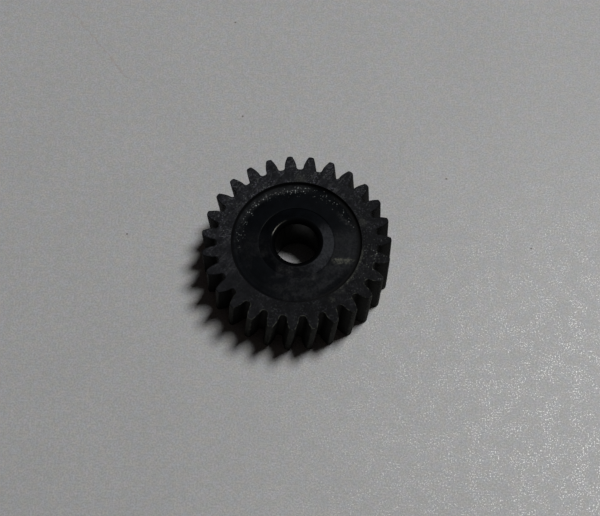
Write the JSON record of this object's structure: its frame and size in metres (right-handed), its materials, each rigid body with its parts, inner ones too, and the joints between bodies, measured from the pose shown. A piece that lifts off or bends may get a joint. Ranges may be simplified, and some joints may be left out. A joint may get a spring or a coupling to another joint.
{
  "type": "helical planet gear",
  "caption": "Moulded plastic helical planet gear with involute teeth, a dished web in each face, a low hub and a plain bore for a planet pin.",
  "frame": {"origin": "the centre of the bottom face, on the bore's axis", "axes": "+Z along the bore's axis, from the bottom face to the top face; +X through the middle of one tooth at the bottom face"},
  "size_m": [0.0232, 0.0232, 0.007],
  "materials": {
    "charcoal_plastic": "black glass-filled plastic, dull and speckled on the rim, smoother in the web, worn and lightly greasy"
  },
  "bodies": {
    "root": {"planet_gear": "charcoal_plastic"}
  },
  "joints": []
}
